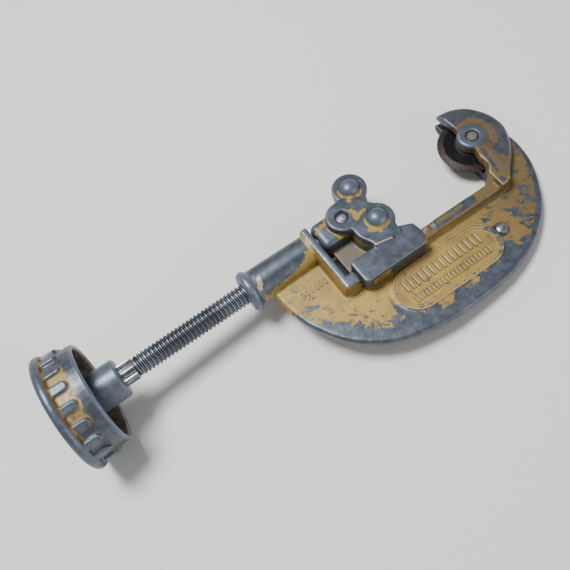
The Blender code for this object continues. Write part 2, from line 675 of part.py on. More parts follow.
def reamer(body, reamer_axis, steel):
    """The folding reamer: a tapered blade on a rivet, sprung by a washer, under the web."""
    low, high = REAMER_BLADE
    outline = (arc((0.0, 0.0), 3.6, -100.0, 100.0, 12)
               + [(-8.0, 3.3), (-REAMER_LENGTH, -1.6), (-REAMER_LENGTH + 0.6, -2.6)])
    blade = plate("reamer_plan", [outline], low, high, 0.15, 1)
    hole = post("reamer_hole", (0.0, 0.0), RIVET_RADIUS + 0.1, -20.0, 20.0, 24)
    whole = cast("reamer_blade", [blade], [hole])
    blade.location = Vector((*REAMER_PIVOT, 0.0)) * MM
    finish(whole, steel, reamer_axis)

    washer = turned("reamer_washer", [(-3.2, RIVET_RADIUS + 0.1), (-3.2, 2.4), (-3.5, 2.6), (-3.5, RIVET_RADIUS + 0.1)],
                    "Z", 24)
    washer.location = Vector((*REAMER_PIVOT, 0.0)) * MM
    finish(washer, steel, body)

    head = [(0.15 + 0.85 * math.sin(a), RIVET_HEAD * math.cos(a))
            for a in (math.radians(d) for d in (90, 60, 30, 0))]
    profile = [(place, max(radius, 0.0)) for place, radius in head]
    profile[0] = (profile[0][0], 0.0)
    profile += [(0.15, RIVET_RADIUS), (-5.05, RIVET_RADIUS), (-5.05, 1.7), (-5.3, 1.7), (-5.45, 1.2), (-5.45, 0.0)]
    rivet = turned("reamer_rivet", profile, "Z", 24)
    rivet.location = Vector((*REAMER_PIVOT, 0.0)) * MM
    finish(rivet, steel, body)


def settle(tool):
    """Lay the tool down: lean it, then bring its lowest point to the floor and its middle over the origin."""
    tool.rotation_euler = (LYING_ROLL, LYING_PITCH, 0.0)
    bpy.context.view_layer.update()
    graph = bpy.context.evaluated_depsgraph_get()
    points = []
    for thing in PARTS.objects:
        if thing.type == "MESH":
            solid = thing.evaluated_get(graph)
            points += [solid.matrix_world @ corner.co for corner in solid.data.vertices]
    low = Vector([min(point[axis] for point in points) for axis in range(3)])
    high = Vector([max(point[axis] for point in points) for axis in range(3)])
    tool.location = (-(low.x + high.x) / 2, -(low.y + high.y) / 2, -low.z)
    bpy.context.view_layer.update()


clear_scene()
PARTS = new_collection("pipe_cutter")
CUTTERS = new_collection("cutters")

worn_casting = material("worn_casting", GOLD)
bare_casting = material("bare_casting", ZINC)
bright_steel = material("bright_steel", STEEL)
wheel_steel = material("wheel_steel", DARK_STEEL)

lying_pose = empty("lying_pose")
carriage_body = empty("carriage_body", lying_pose)
screw_axis = empty("screw_axis", carriage_body)
wheel_pivot = empty("wheel_pivot", lying_pose, (*WHEEL_CENTRE, 0.0))
reamer_pivot = empty("reamer_pivot", lying_pose, (*REAMER_PIVOT, 0.0))
bpy.context.view_layer.update()

frame(lying_pose, worn_casting)
slide(carriage_body, bare_casting)
keeper(carriage_body, bare_casting)
for screw_name, screw_place in KEEPER_SCREWS.items():
    keeper_screw(screw_name, screw_place, carriage_body, bright_steel)
rollers(lying_pose, carriage_body, bright_steel)
retaining_pin(carriage_body, bright_steel)
feed_screw(screw_axis, bright_steel)
knob(screw_axis, worn_casting)
cutter_wheel(wheel_pivot, wheel_steel)
wheel_screw(lying_pose, bright_steel)
reamer(lying_pose, reamer_pivot, bright_steel)
settle(lying_pose)
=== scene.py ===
"""Looks for a small die-cast pipe cutter: worn gold paint over grey zinc, an old steel screw, a dark wheel.

The castings are soft-edged copies of their CAD nodes. Each of their points carries how sharp and how hollow
it is, and the frame's also how far from the belly's rim; the paint wears by that. Lengths are in millimetres
in the tool's own straight frame, which the record's joints give: X along the screw, Z along the wheel's pin.
"""
import json
import math

import bmesh
import bpy
import numpy as np
from mathutils import Matrix, Vector
from mathutils.kdtree import KDTree


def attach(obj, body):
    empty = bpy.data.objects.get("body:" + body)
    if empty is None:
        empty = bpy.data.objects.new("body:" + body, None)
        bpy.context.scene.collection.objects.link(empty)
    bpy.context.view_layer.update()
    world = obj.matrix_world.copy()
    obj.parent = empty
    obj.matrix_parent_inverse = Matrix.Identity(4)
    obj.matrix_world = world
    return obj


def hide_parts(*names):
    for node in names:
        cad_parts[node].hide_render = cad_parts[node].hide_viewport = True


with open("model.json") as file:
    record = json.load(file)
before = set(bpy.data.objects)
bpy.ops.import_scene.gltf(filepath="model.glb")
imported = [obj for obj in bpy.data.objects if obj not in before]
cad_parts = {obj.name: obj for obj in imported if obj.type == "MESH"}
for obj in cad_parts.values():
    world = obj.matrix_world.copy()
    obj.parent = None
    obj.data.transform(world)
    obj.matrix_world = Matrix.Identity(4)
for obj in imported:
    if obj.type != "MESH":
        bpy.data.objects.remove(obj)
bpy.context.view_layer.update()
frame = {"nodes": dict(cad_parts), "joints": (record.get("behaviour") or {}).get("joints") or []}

MM = 0.001

# places in the tool's own frame
WHEEL = (78.5, -0.6)
WHEEL_RADIUS = 9.4
BOSS_RADIUS = 4.3                   # of the boss over the wheel
RIVET = (66.5, -27.1)
PITCH = 1.27
THREAD = (-38.7, 24.0)
THREAD_RADII = (2.62, 3.12)         # root and crest
# the thread's section: places along one turn and heights between root and crest
THREAD_SECTION = ((0.0, 0.0), (0.10, 0.0), (0.36, 0.92), (0.42, 1.0), (0.60, 1.0), (0.66, 0.92), (0.92, 0.0))
SPLINE = (-57.0, -38.5, 3.3, 20)    # start, end, radius, teeth
TIP = ((24.0, 2.35), (31.2, 2.35), (31.2, 1.6), (34.0, 1.6), (34.0, 2.35), (34.7, 2.35), (35.0, 2.0))
CARTOUCHE = (37.2, 58.2, -27.3)
BELLY_MIDDLE = (50.0, -12.0)
BELLY_TURN = (185, 375)             # the way round the belly's middle, in degrees, that its rim takes
DOMES = ((39.9, 6.35), (39.9, -6.35))
GRAIN = -32.0                       # the way the chips and streaks run on the web, in degrees

# how the castings are copied: (voxel, smoothing rounds)
FRAME_SKIN = (0.32, 3)
SLIDE_SKIN = (0.22, 3)
KNOB_SKIN = (0.26, 2)
MARK_REACH = 0.55                   # how far round a point its surroundings are averaged
MARK_HEIGHT = 0.22                  # how far a point stands out or in when its mark is 1

# bars that stand for letters: (how many, spacing, place across, width, length, height)
UPPER_BARS = (15, 1.75, 2.0, 0.85, 3.4, 0.45)
LOWER_BARS = (23, 1.13, -2.5, 0.55, 2.1, 0.34)
BARREL_BARS = (6, 1.5, -10.6, 0.5, 1.7, 0.3)
BARREL_BARS_START = 11.2
BARS_INSET = -2.2                   # from the cartouche's left centre to its first bar
OUTER_RIDGE = (6.3, 0.62, 0.46)     # radius, width, height
INNER_RIDGE = (5.45, 0.44, 0.32)

# the camera, in the tool's own frame
CAMERA_PLACE = (-19.87, -83.9, 173.55)
CAMERA_RIGHT = (0.8286, -0.528, -0.1863)
CAMERA_UP = (0.55, 0.7055, 0.4469)
CAMERA_BACK = (-0.1046, -0.4728, 0.875)
CAMERA_LENS = 43.0
CAMERA_SHIFT = (0.0896, -0.0354)

# colours, linear
PALE_GOLD = (0.40, 0.265, 0.058)
GOLD = (0.27, 0.180, 0.048)
OLIVE = (0.125, 0.085, 0.030)
RUST = (0.130, 0.060, 0.020)
BROWN = (0.150, 0.088, 0.035)
DIRT_AND_SHADE = (0.035, 0.022, 0.012)
ZINC = (0.052, 0.066, 0.088)
BROWN_ZINC = (0.075, 0.072, 0.080)
RUBBED_AND_HIGHLIT_ZINC = (0.22, 0.24, 0.28)
PALE_ZINC = (0.105, 0.125, 0.155)
DARK_ZINC = (0.024, 0.028, 0.038)
CREAM = (0.50, 0.43, 0.29)
STEEL = (0.16, 0.17, 0.19)
DARK_STEEL = (0.020, 0.021, 0.025)
BRIGHT_STEEL = (0.42, 0.44, 0.47)
BLUE_ZINC = (0.17, 0.21, 0.28)
DULL_GOLD = (0.150, 0.118, 0.072)
CUP = (0.27, 0.23, 0.175)
KEEPER_SHADE = (0.006, 0.005, 0.005)
THREAD_FLANK_SHADE = (0.028, 0.032, 0.040)
THREAD_HIGHLIGHT = (0.25, 0.285, 0.34)
BEVEL_DARK = (0.018, 0.011, 0.011)
BEVEL_BROWN = (0.054, 0.036, 0.037)
BEVEL_RUST = (0.085, 0.030, 0.012)
FLANK_DARK = (0.006, 0.006, 0.008)
FLANK_LIGHT = (0.018, 0.017, 0.018)
PIN_DARK = (0.17, 0.16, 0.14)
PIN_LIGHT = (0.30, 0.29, 0.26)
FLOOR = (0.80, 0.79, 0.77)
SKY = (0.95, 0.97, 1.0)
SKY_STRENGTH = 0.30
FLOOR_SIZE = 8.0                    # metres from the middle to an edge

# lamps: way to the right, up and back from the tool (metres), size (metres), power (watts)
LAMPS = {
    "key": ((-0.30, 0.30, 0.42), 0.22, 5.0),
    "fill": ((0.45, -0.10, 0.40), 0.5, 1.5),
}
LAMP_TARGET = (0.0, 0.0, 0.01)


def tool_matrix():
    """From the tool's own frame, in metres, to the row frame."""
    joints = {joint["name"]: joint for joint in frame["joints"]}
    along = Vector(joints["slide_travel"]["axis"]).normalized()
    up = Vector(joints["wheel_spin"]["axis"]).normalized()
    across = up.cross(along)
    made = Matrix((along, across, up)).transposed().to_4x4()
    made.translation = Vector(joints["wheel_spin"]["pos_m"]) - (along * WHEEL[0] + across * WHEEL[1]) * MM
    return made


TOOL = tool_matrix()
TO_TOOL = TOOL.inverted()


# ---------------------------------------------------------------- materials

class Paint:
    """A short way to write one material's nodes: each call adds a node and returns its output."""

    def __init__(self, name):
        self.material = bpy.data.materials.new(name)
        self.material.use_nodes = True
        self.tree = self.material.node_tree
        self.shader = self.tree.nodes["Principled BSDF"]
        coordinates = self.tree.nodes.new("ShaderNodeTexCoord")
        mapping = self.tree.nodes.new("ShaderNodeMapping")
        mapping.vector_type = "TEXTURE"
        mapping.inputs["Location"].default_value = TOOL.translation
        mapping.inputs["Rotation"].default_value = TOOL.to_euler()
        mapping.inputs["Scale"].default_value = (MM, MM, MM)
        self.tree.links.new(coordinates.outputs["Object"], mapping.inputs["Vector"])
        self.place = mapping.outputs["Vector"]

    def put(self, socket, value):
        """Give a socket a link, a colour or a number."""
        if isinstance(value, bpy.types.NodeSocket):
            self.tree.links.new(value, socket)
        elif isinstance(value, tuple) and len(value) == 3 and socket.type == "RGBA":
            socket.default_value = (*value, 1.0)
        else:
            socket.default_value = value

    def noise(self, scale, detail=3.0, roughness=0.55, distortion=0.0, stretch=(1.0, 1.0, 1.0), turn=0.0,
              shift=0.0):
        """Noise from 0 to 1: bumps per millimetre, drawn out by the stretch along axes turned about Z."""
        mapping = self.tree.nodes.new("ShaderNodeMapping")
        mapping.vector_type = "TEXTURE"
        mapping.inputs["Scale"].default_value = stretch
        mapping.inputs["Rotation"].default_value = (0.0, 0.0, math.radians(turn))
        mapping.inputs["Location"].default_value = (shift, shift * 0.7, -shift)
        self.put(mapping.inputs["Vector"], self.place)
        texture = self.tree.nodes.new("ShaderNodeTexNoise")
        self.put(texture.inputs["Vector"], mapping.outputs["Vector"])
        texture.inputs["Scale"].default_value = scale
        texture.inputs["Detail"].default_value = detail
        texture.inputs["Roughness"].default_value = roughness
        texture.inputs["Distortion"].default_value = distortion
        return texture.outputs["Fac"]

    def maths(self, operation, first, second=0.0, clamp=False):
        """One step of arithmetic on links or numbers."""
        made = self.tree.nodes.new("ShaderNodeMath")
        made.operation = operation
        made.use_clamp = clamp
        self.put(made.inputs[0], first)
        self.put(made.inputs[1], second)
        return made.outputs[0]

    def total(self, *terms):
        """The sum of value * weight over (value, weight) pairs."""
        result = None
        for value, weight in terms:
            term = self.maths("MULTIPLY", value, weight)
            result = term if result is None else self.maths("ADD", result, term)
        return result

    def step(self, value, low, high):
        """0 below low, 1 above high and smooth between; low above high turns it round."""
        made = self.tree.nodes.new("ShaderNodeMapRange")
        made.interpolation_type = "SMOOTHSTEP"
        backwards = low > high
        for name, number in zip(("From Min", "From Max", "To Min", "To Max"),
                                (min(low, high), max(low, high), float(backwards), float(not backwards))):
            made.inputs[name].default_value = number
        self.put(made.inputs["Value"], value)
        return made.outputs["Result"]

    def axes(self):
        """The point's three places in the tool's own frame."""
        made = self.tree.nodes.new("ShaderNodeSeparateXYZ")
        self.put(made.inputs["Vector"], self.place)
        return made.outputs

    def length(self, first, second):
        """The length of the slope over two sides at right angles."""
        return self.maths("SQRT", self.maths("ADD", self.maths("MULTIPLY", first, first),
                                             self.maths("MULTIPLY", second, second)))

    def reach(self, x, y):
        """The distance from a line that stands along Z."""
        east, north, _ = self.axes()
        return self.length(self.maths("SUBTRACT", east, x), self.maths("SUBTRACT", north, y))

    def stroke(self, start, end):
        """The distance, seen along Z, from a straight stroke between two points."""
        run = Vector(end) - Vector(start)
        east, north, _ = self.axes()
        along = self.maths("SUBTRACT", east, start[0])
        aside = self.maths("SUBTRACT", north, start[1])
        travelled = self.total((along, run.x), (aside, run.y))
        share = self.maths("DIVIDE", travelled, run.length_squared, clamp=True)
        return self.length(self.total((along, 1.0), (share, -run.x)),
                           self.total((aside, 1.0), (share, -run.y)))

    def within(self, distance, radius, soft=0.8):
        """1 within the radius, fading to 0 over the soft width."""
        return self.step(distance, radius + soft / 2, radius - soft / 2)

    def stroke_mark(self, start, end, radius, soft=2.0):
        """1 on a stroke of that radius, 0 away from it."""
        return self.within(self.stroke(start, end), radius, soft)

    def off_axis(self):
        """The distance from the screw's axis."""
        _, north, up = self.axes()
        return self.length(north, up)

    def mark(self, name):
        """One of the numbers that a skin carries."""
        made = self.tree.nodes.new("ShaderNodeAttribute")
        made.attribute_name = name
        return made.outputs["Fac"]

    def mix(self, share, first, second):
        """first where share is 0 and second where it is 1, for colours."""
        made = self.tree.nodes.new("ShaderNodeMix")
        made.data_type = "RGBA"
        self.put(made.inputs["Factor"], share)
        self.put(made.inputs["A"], first)
        self.put(made.inputs["B"], second)
        return made.outputs["Result"]

    def cover(self, colour, share, strength, tint):
        """Lay a tint over the colour where share is 1, as strongly as strength says."""
        return self.mix(self.maths("MULTIPLY", share, strength), colour, tint)

    def blend(self, share, first, second):
        """first where share is 0 and second where it is 1, for plain numbers."""
        return self.total((share, second), (self.maths("SUBTRACT", 1.0, share), first))

    def bump(self, height, distance, strength=1.0):
        """A normal from a height; the distance is in millimetres."""
        made = self.tree.nodes.new("ShaderNodeBump")
        made.inputs["Strength"].default_value = strength
        made.inputs["Distance"].default_value = distance * MM
        self.put(made.inputs["Height"], height)
        return made.outputs["Normal"]

    def finish(self, colour, roughness, metallic, normal=None):
        """Connect the shader and return the material."""
        self.put(self.shader.inputs["Base Color"], colour)
        self.put(self.shader.inputs["Roughness"], roughness)
        self.put(self.shader.inputs["Metallic"], metallic)
        if normal is not None:
            self.put(self.shader.inputs["Normal"], normal)
        return self.material


def either(paint, first, second):
    """The larger of two shares."""
    return paint.maths("MAXIMUM", first, second)


def both(paint, *shares):
    """The product of shares: 1 only where all are."""
    result = shares[0]
    for share in shares[1:]:
        result = paint.maths("MULTIPLY", result, share)
    return result


def zinc_colour(paint, edge, edge_rub_and_highlight):
    """Dull blue-grey die-cast metal, mottled, paler on sharp edges: rubbed, and partly a painted highlight.
    """
    cloud = paint.step(paint.noise(0.35, 5.0, 0.6), 0.35, 0.68)
    speck = paint.step(paint.noise(2.6, 4.0, 0.6, shift=7.0), 0.52, 0.72)
    tint = paint.step(paint.noise(0.22, 3.0, 0.6, shift=31.0), 0.48, 0.70)
    colour = paint.mix(cloud, ZINC, PALE_ZINC)
    colour = paint.cover(colour, tint, 0.55, BROWN_ZINC)
    colour = paint.cover(colour, speck, 0.5, DARK_ZINC)
    # Paler on sharp edges: rubbed metal, and partly a painted highlight.
    rubbed_and_highlit_edge = paint.maths("MULTIPLY", paint.step(edge, 0.30, 1.1), edge_rub_and_highlight)
    return paint.mix(rubbed_and_highlit_edge, colour, RUBBED_AND_HIGHLIT_ZINC)


def gold_colour(paint, edge, hollow, aged):
    """Bronze-gold paint: pale and clean to olive and rusty, cream on sharp edges (rubbed, and partly a
    painted highlight), and darker in the hollows with dirt and painted shade.
    """
    cloud = paint.step(paint.noise(0.16, 4.0, 0.6, shift=3.0), 0.38, 0.66)
    grain = paint.noise(1.7, 5.0, 0.65, shift=11.0)
    colour = paint.mix(cloud, PALE_GOLD, GOLD)
    colour = paint.cover(colour, aged, 0.9, OLIVE)
    rusty = paint.maths("MULTIPLY", paint.step(grain, 0.54, 0.74), 0.40)
    colour = paint.mix(rusty, colour, RUST)
    # Cream on sharp edges: paint rubbed pale, and partly a painted highlight.
    colour = paint.cover(colour, paint.step(edge, 0.35, 1.0), 0.55, CREAM)
    # Darker in the hollows: dirt, and partly painted shade.
    hollow_dirt_and_shade = paint.maths("MULTIPLY", paint.step(hollow, 0.15, 0.9), 0.80)
    return paint.mix(hollow_dirt_and_shade, colour, DIRT_AND_SHADE)


def worn_casting(name, bare, aged, chips=None, shine=None, touches=None, edge_rub_and_highlight=0.75):
    """Gold paint over zinc.

    bare(paint) says how much paint is gone and aged(paint) how old it looks. chips(paint) adds more bare
    metal, shine(paint) says where the metal is rubbed brighter and touches(paint, colour) goes over it all.
    The last argument says how bright its sharp edges are: rubbed, and partly a painted highlight.
    """
    paint = Paint(name)
    edge = paint.mark("edge")
    hollow = paint.mark("hollow")
    ragged = paint.total((paint.noise(0.30, 6.0, 0.62, 0.4), 0.75),
                         (paint.noise(1.3, 4.0, 0.6, shift=5.0), 0.25))
    gone = paint.total((bare(paint), 1.0), (ragged, 1.6), (edge, 0.30), (hollow, -0.5))
    bared = paint.step(gone, 1.26, 1.34)
    if chips is not None:
        bared = either(paint, bared, chips(paint))
    zinc = zinc_colour(paint, edge, edge_rub_and_highlight)
    if shine is not None:
        zinc = paint.mix(paint.maths("MULTIPLY", shine(paint), 0.65), zinc, BLUE_ZINC)
    gold = gold_colour(paint, edge, hollow, aged(paint))
    colour = paint.mix(bared, gold, zinc)
    rim = both(paint, paint.step(gone, 1.18, 1.27), paint.step(gone, 1.36, 1.28))
    colour = paint.cover(colour, rim, 0.30, DIRT_AND_SHADE)
    if touches is not None:
        colour = touches(paint, colour)
    rough = paint.blend(bared, 0.50, 0.40)
    rough = paint.total((rough, 1.0), (paint.noise(1.1, 4.0, 0.6, shift=2.0), 0.22), (0.11, -1.0))
    metal = paint.blend(bared, 0.25, 0.50)
    height = paint.total((paint.maths("SUBTRACT", 1.0, bared), 0.35), (paint.noise(0.9, 4.0, 0.6), 0.8),
                         (paint.noise(4.5, 3.0, 0.6, shift=9.0), 0.28))
    return paint.finish(colour, rough, metal, paint.bump(height, 0.07, 0.8))


def cartouche_reach(paint):
    """The distance from the cartouche's middle line."""
    left, right, middle = CARTOUCHE
    return paint.stroke((left, middle), (right, middle))


def web_wear(paint):
    """The web is bare along the belly's rim, round the cartouche's lower side and about the rivet."""
    x, y, z = paint.axes()
    to_rim = paint.mark("belly")
    bottom = both(paint, paint.step(x, 9.0, 15.0), paint.step(x, 74.0, 58.0))
    rim = either(paint, paint.step(to_rim, 2.3, 0.6), both(paint, paint.step(to_rim, 4.4, 1.8), bottom))
    inside = both(paint, paint.step(to_rim, 14.0, 5.0), paint.step(x, 9.0, 16.0), paint.step(x, 38.0, 30.0))
    islands = both(paint, paint.step(to_rim, 9.0, 4.0), paint.step(x, 30.0, 38.0), paint.step(x, 68.0, 60.0))
    cartouche = cartouche_reach(paint)
    lower_side = both(paint, paint.step(cartouche, 9.4, 8.0), paint.step(cartouche, 6.3, 6.8),
                      either(paint, paint.step(y, -29.0, -32.0), paint.step(x, 35.0, 31.0)))
    right = both(paint, paint.step(x, 58.0, 65.0), paint.step(y, -14.0, -22.0))
    streaks = paint.noise(0.5, 5.0, 0.6, 0.4, stretch=(2.4, 0.8, 1.0), turn=GRAIN, shift=61.0)
    flat = paint.step(z, 0.9, 0.5)
    streaked = both(paint, right, paint.step(streaks, 0.45, 0.60))
    return both(paint, flat, paint.total((rim, 0.95), (inside, 0.48), (islands, 0.25), (lower_side, 0.34),
                                         (right, 0.20), (streaked, 0.42)))


def hood_wear(paint):
    """The hood is bare outside, on its boss and down one side of the rib; gold runs between them."""
    x, y, z = paint.axes()
    above = paint.step(x, 72.4, 73.4)
    outer = both(paint, paint.step(paint.reach(*WHEEL), 6.2, 7.4), paint.step(y, -12.5, -9.5),
                 either(paint, paint.step(x, 79.8, 80.8), paint.step(y, -2.5, -0.5)))
    band = either(paint, paint.stroke_mark((83.6, 0.5), (83.0, -5.0), 0.8),
                  paint.stroke_mark((83.0, -5.0), (80.9, -11.0), 0.8))
    outer = both(paint, either(paint, outer, paint.step(y, 4.0, 6.0)), paint.step(z, -0.5, 2.0))
    under = both(paint, paint.step(z, -0.6, -1.2), paint.step(x, 84.0, 81.0))
    blotch = paint.stroke_mark((81.0, -5.0), (81.9, -10.5), 1.1)
    high = paint.step(z, 3.6, 4.4)
    rib = both(paint, paint.stroke_mark((78.0, -4.6), (75.9, -13.6), 0.75, 1.2), high)
    boss = both(paint, paint.within(paint.reach(*WHEEL), BOSS_RADIUS, 0.3), paint.step(z, 2.8, 4.2))
    bump = both(paint, paint.within(paint.reach(75.0, -16.9), 1.0, 1.2), high)
    return both(paint, above, paint.total((outer, 0.80), (band, -0.55), (under, 0.9), (blotch, 0.55),
                                          (rib, 0.62), (bump, 0.7), (boss, 1.0)))


def frame_wear(paint):
    """Bare on the web and hood, the tops of the barrel and wall, the rail and the collar."""
    x, y, z = paint.axes()
    level = paint.total((z, 1.0), (x, -0.20))
    barrel = both(paint, paint.step(x, 20.6, 19.4), paint.step(x, 1.6, 3.8), paint.step(level, -1.1, 2.8))
    behind = both(paint, paint.step(x, 20.6, 19.4), paint.step(x, 2.8, 4.2), paint.step(y, 0.5, 3.0))
    wall = both(paint, paint.step(z, 4.5, 5.0), paint.step(x, 27.0, 26.0), paint.step(x, 20.6, 21.4))
    middle = paint.stroke((53.6, -16.1), (61.4, -16.1))
    strip = both(paint, paint.step(z, 2.6, 3.0), paint.stroke_mark((53.0, -16.1), (64.4, -16.1), 1.6, 0.2),
                 paint.step(middle, 0.2, 1.2))
    rail = both(paint, paint.step(z, 2.2, 2.8), paint.step(y, -19.0, -18.3), paint.step(x, 73.0, 70.0))
    collar = paint.step(x, 2.6, 1.9)
    return paint.total((web_wear(paint), 1.0), (hood_wear(paint), 1.0), (barrel, 0.80), (behind, 0.6),
                       (wall, 0.62), (strip, 0.60), (rail, 0.20), (collar, 1.0))


def frame_chips(paint):
    """Flecks that run along the grain, thickest along the belly, and a few small ones everywhere."""
    _, _, z = paint.axes()
    to_rim = paint.mark("belly")
    near = both(paint, paint.step(to_rim, 12.0, 4.0), paint.step(z, 0.7, 0.3))
    patch = paint.noise(0.50, 4.0, 0.58, 0.5, stretch=(1.5, 0.85, 1.0), turn=GRAIN, shift=21.0)
    level = paint.total((patch, 1.0), (near, 0.105))
    small = paint.noise(1.0, 2.0, 0.5, 0.3, stretch=(1.4, 0.9, 1.0), turn=GRAIN, shift=51.0)
    return either(paint, paint.step(level, 0.655, 0.672), paint.step(small, 0.695, 0.71))


def frame_age(paint):
    """The paint is older toward the wheel and on the rail."""
    x, _, z = paint.axes()
    rail = both(paint, paint.step(z, 0.6, 3.0), paint.step(x, 20.0, 30.0))
    return either(paint, paint.step(x, 46.0, 80.0), rail)


def frame_shine(paint):
    """The collar, the boss over the wheel and the top of the wall are rubbed."""
    x, _, z = paint.axes()
    return paint.total((paint.step(x, 2.4, 1.8), 0.65),
                       (paint.within(paint.reach(*WHEEL), BOSS_RADIUS, 0.2), 0.45),
                       (both(paint, paint.step(z, 4.6, 5.1), paint.step(x, 27.0, 26.0)), 0.45))


def frame_touches(paint, colour):
    """Cream by the collar, a painted cream highlight on the wall's edge, painted shade under the hood, dirt
    by the rivet and rust on the hood.
    """
    x, y, z = paint.axes()
    speck = paint.step(paint.noise(1.1, 4.0, 0.65, shift=71.0), 0.50, 0.60)
    wobble = paint.total((paint.noise(0.9, 4.0, 0.6, shift=29.0), 1.6), (0.8, -1.0))
    away = paint.maths("ADD", paint.stroke((2.5, -3.0), (3.6, -0.9)), wobble)
    chip = both(paint, paint.step(away, 0.75, 0.60), paint.step(z, 2.0, 3.0))
    colour = paint.cover(colour, chip, 0.9, CREAM)
    # A painted highlight: cream, broken into specks, along the wall's outer edge.
    wall = both(paint, paint.step(x, 21.9, 21.2), paint.step(x, 19.8, 20.2), paint.step(z, 2.5, 4.8), speck)
    colour = paint.cover(colour, wall, 0.45, CREAM)
    hood = both(paint, paint.step(x, 76.0, 78.0), paint.step(z, 0.5, 2.0))
    colour = paint.cover(colour, hood, 0.30, BROWN_ZINC)
    # Painted shade: the lower cheek under the hood is darkened.
    under = both(paint, paint.step(z, -0.8, -1.3), paint.step(x, 83.0, 80.0), paint.step(y, 2.0, 4.0))
    colour = paint.cover(colour, under, 0.85, DARK_ZINC)
    ring = both(paint, paint.step(paint.reach(*RIVET), 2.5, 1.9), paint.step(z, 0.4, 0.2))
    colour = paint.cover(colour, ring, 0.7, DIRT_AND_SHADE)
    to_wheel = paint.reach(*WHEEL)
    band = both(paint, paint.step(to_wheel, 7.4, 6.6), paint.step(to_wheel, BOSS_RADIUS, 4.7),
                paint.step(z, 2.0, 3.0), paint.step(paint.noise(0.45, 4.0, 0.6, shift=81.0), 0.40, 0.62))
    return paint.cover(colour, band, 0.45, RUST)


def slide_wear(paint):
    """Bare but for gold by the domes and the pin, on the socket, on the sides and in the recess."""
    x, y, z = paint.axes()
    strokes = (((35.7, -0.1), (35.6, -3.0), 0.9), ((35.9, -2.7), (38.9, -2.1), 0.5),
               ((37.2, 3.5), (37.2, 2.4), 0.6), ((36.4, -8.2), (38.2, -9.9), 0.9))
    kept = None
    for start, end, radius in strokes:
        stroke = paint.stroke_mark(start, end, radius, 3.0)
        kept = stroke if kept is None else either(paint, kept, stroke)
    kept = both(paint, kept, paint.step(z, 5.4, 6.0))
    for place in DOMES:
        near = paint.reach(*place)
        side = paint.step(paint.total((x, -0.8), (y, -1.0), (place[0] * 0.8 + place[1], 1.0)), -1.6, 2.6)
        ring = both(paint, paint.step(near, 2.6, 3.1), paint.step(near, 4.3, 3.4), side,
                    paint.step(z, 5.4, 6.0))
        kept = either(paint, kept, ring)
    socket = paint.within(paint.stroke((26.9, 2.2), (24.8, 1.2)), 0.9, 2.2)
    kept = either(paint, kept, socket)
    floor = both(paint, paint.step(z, 1.6, 0.9), paint.step(y, -2.0, -3.0))
    lobe_side = both(paint, paint.step(z, 5.6, 4.4), paint.step(x, 35.0, 33.5), paint.step(x, 27.6, 28.4))
    side = either(paint, both(paint, paint.step(z, 2.6, 0.4), paint.step(x, 35.0, 33.5)), lobe_side)
    return paint.total((1.05, 1.0), (kept, -0.88), (floor, -0.80), (side, -0.62))


def slide_low_olive(paint):
    """The slide's gold is darker and olive low down, and in clouds."""
    _, _, z = paint.axes()
    return paint.total((paint.step(z, 4.4, 1.0), 0.6), (paint.noise(0.4, 2.0), 0.5))


def slide_shine(paint):
    """The domes and the upper edges of the socket are rubbed bright."""
    x, _, z = paint.axes()
    domes = either(paint, *[paint.within(paint.reach(*place), 3.0, 0.4) for place in DOMES])
    domes = both(paint, domes, paint.step(z, 6.8, 7.6))
    socket = both(paint, paint.step(x, 28.0, 27.0), paint.step(z, 3.0, 4.4))
    return either(paint, paint.maths("MULTIPLY", domes, 0.75), paint.maths("MULTIPLY", socket, 0.4))


def slide_touches(paint, colour):
    """A dull floor in the recess, a pale scratch where the arm meets the block, and a pit at its end."""
    _, y, z = paint.axes()
    floor = both(paint, paint.step(z, 0.8, 0.5), paint.step(z, -0.8, -0.2), paint.step(y, -2.0, -3.0))
    grain = paint.step(paint.noise(1.2, 4.0, 0.6, shift=91.0), 0.35, 0.7)
    colour = paint.mix(paint.maths("MULTIPLY", floor, 0.8), colour, paint.mix(grain, DULL_GOLD, PALE_ZINC))
    wobble = paint.total((paint.noise(1.2, 3.0, shift=23.0), 0.5), (0.25, -1.0))
    away = paint.maths("ADD", paint.stroke((34.2, -12.8), (39.6, -13.6)), wobble)
    scratch = both(paint, paint.step(away, 0.26, 0.10), paint.step(z, 5.6, 6.0))
    colour = paint.cover(colour, scratch, 0.8, CREAM)
    pit = both(paint, paint.within(paint.reach(39.9, -13.7), 0.36, 0.2), paint.step(z, 5.6, 6.0))
    return paint.mix(pit, colour, DIRT_AND_SHADE)


def knob_wear(paint):
    """The knob keeps its gold between a few grips and, in a line, beside its bead."""
    x, y, z = paint.axes()
    out = paint.off_axis()
    front = both(paint, paint.step(y, 13.0, 1.5), paint.step(y, -16.0, -7.0), paint.step(z, 0.0, 4.0))
    skirt = both(paint, paint.step(x, -59.6, -58.9), paint.step(x, -50.0, -54.8),
                 paint.step(out, 16.35, 15.95))
    line = both(paint, paint.step(x, -59.6, -59.0), paint.step(x, -57.8, -58.5), paint.step(out, 17.6, 17.1),
                paint.step(y, -15.5, -12.5))
    return paint.total((1.05, 1.0), (both(paint, skirt, front), -0.74), (line, -0.80))


def knob_age(paint):
    """The line beside the bead is old, the rest in clouds."""
    x, _, _ = paint.axes()
    line = paint.step(x, -57.8, -59.0)
    return either(paint, line, paint.step(paint.noise(0.25, 3.0, 0.6, shift=13.0), 0.5, 0.7))


def knob_shine(paint):
    """The hub, the lip and the outside are rubbed."""
    x, _, _ = paint.axes()
    out = paint.off_axis()
    hub = both(paint, paint.step(out, 6.4, 6.2), paint.step(x, -60.2, -59.8))
    lip = both(paint, paint.step(x, -51.0, -50.2), paint.step(out, 12.0, 13.0))
    outside = both(paint, paint.step(x, -53.0, -57.0), paint.step(out, 15.0, 15.6))
    return paint.total((hub, 0.6), (lip, 0.75), (outside, 0.4))


